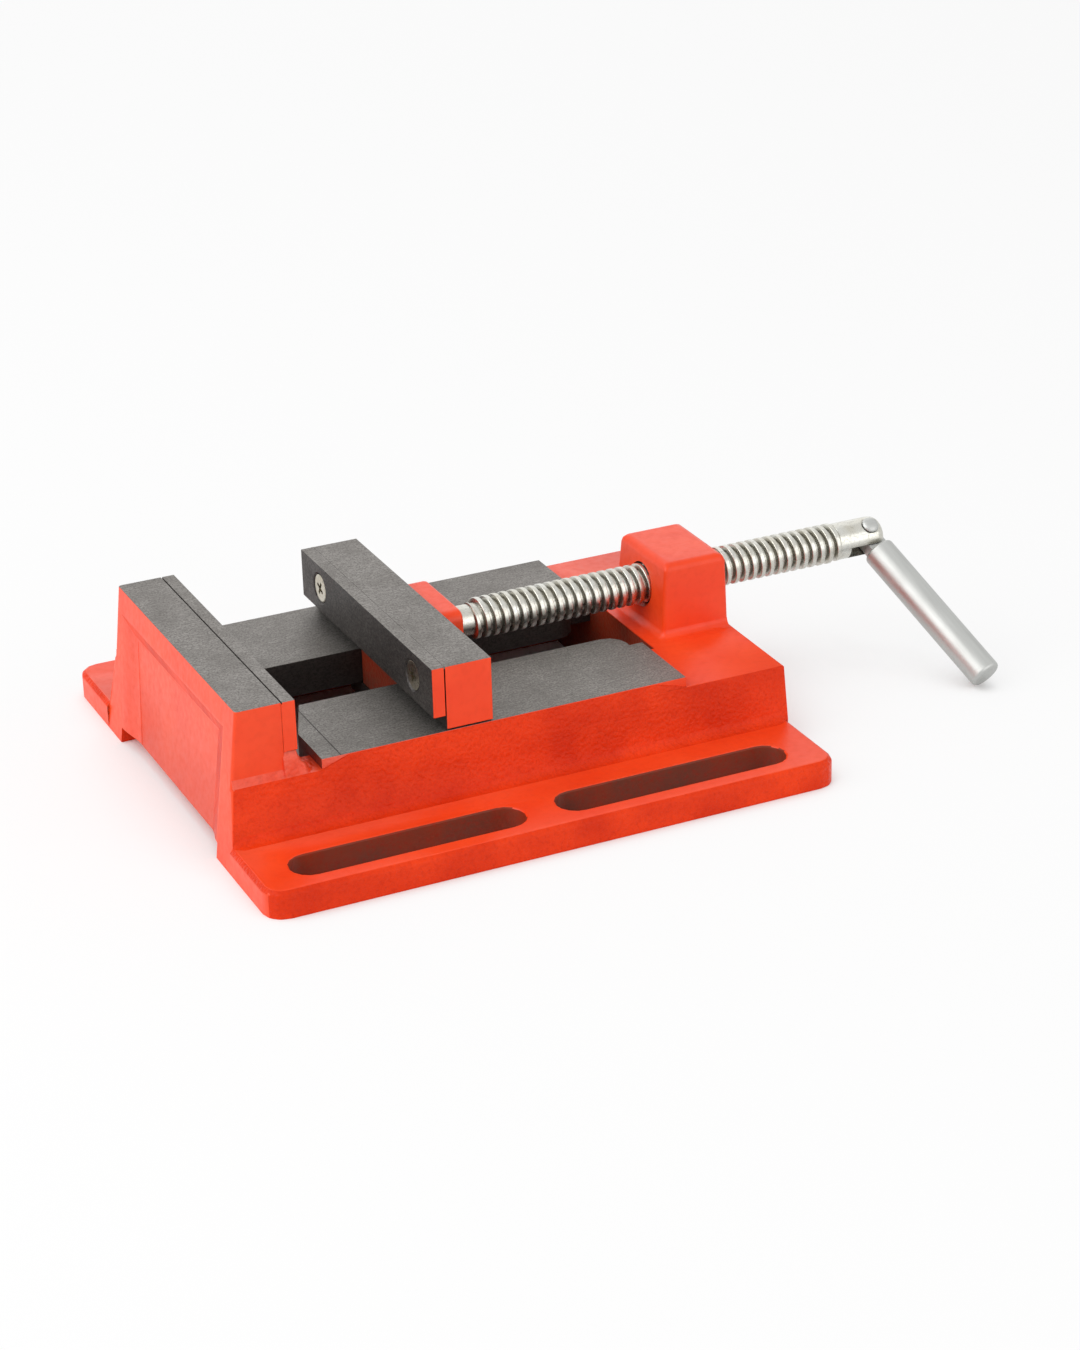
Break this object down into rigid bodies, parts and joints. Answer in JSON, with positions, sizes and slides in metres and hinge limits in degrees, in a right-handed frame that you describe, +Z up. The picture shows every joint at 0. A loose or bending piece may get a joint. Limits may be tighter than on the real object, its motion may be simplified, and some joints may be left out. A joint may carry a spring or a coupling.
{
  "type": "drill press vise",
  "caption": "Low flat vise for a drill press table: slotted flanged base with a fixed jaw, a jaw that slides on machined rails, and a lead screw with a folding bar handle.",
  "frame": {"origin": "on the bench, in the middle of the space that the whole vise covers with its handle as modelled", "axes": "+X along the screw from the fixed jaw to the handle, +Y across the jaws, to the left when looking from the fixed jaw towards the handle, +Z up"},
  "size_m": [0.2534, 0.1682, 0.0473],
  "materials": {
    "red_paint": "glossy paint over rough casting",
    "ground_steel": "ground, slightly oiled",
    "zinc_plate": "bright zinc plate",
    "bright_steel": "bright turned steel"
  },
  "bodies": {
    "base": {"base_casting": "red_paint", "fixed_jaw_plate": "ground_steel", "fixed_plate_screw_left": "bright_steel", "fixed_plate_screw_right": "bright_steel"},
    "movable_jaw": {"movable_jaw": "red_paint", "movable_jaw_plate": "ground_steel", "movable_plate_screw_left": "bright_steel", "movable_plate_screw_right": "bright_steel", "keeper_plate": "ground_steel", "keeper_bolt_front": "zinc_plate", "keeper_bolt_rear": "zinc_plate", "keeper_flat_washer_front": "zinc_plate", "keeper_flat_washer_rear": "zinc_plate", "keeper_spring_washer_front": "zinc_plate", "keeper_spring_washer_rear": "zinc_plate", "screw_retaining_pin_left": "bright_steel", "screw_retaining_pin_right": "bright_steel"},
    "lead_screw": {"lead_screw": "zinc_plate", "handle_pin": "bright_steel"},
    "handle": {"handle": "bright_steel"}
  },
  "joints": [
    {"name": "jaw_slide", "type": "slide", "parent": "base", "child": "movable_jaw", "axis": [1, 0, 0], "range_m": [-0.0406, 0.0535]},
    {"name": "screw_turn", "type": "hinge", "parent": "movable_jaw", "child": "lead_screw", "pos_m": [-0.03688, 0, 0.0363], "axis": [1, 0, 0], "range_deg": [-4900, 6450]},
    {"name": "handle_fold", "type": "hinge", "parent": "lead_screw", "child": "handle", "pos_m": [0.10732, 0, 0.0363], "axis": [0, -0.5432, 0.8396], "range_deg": [-20.5, 172.4]}
  ],
  "couplings": [
    {"joint": "screw_turn", "follows": "jaw_slide", "rad_per_m": 2094.4}
  ]
}
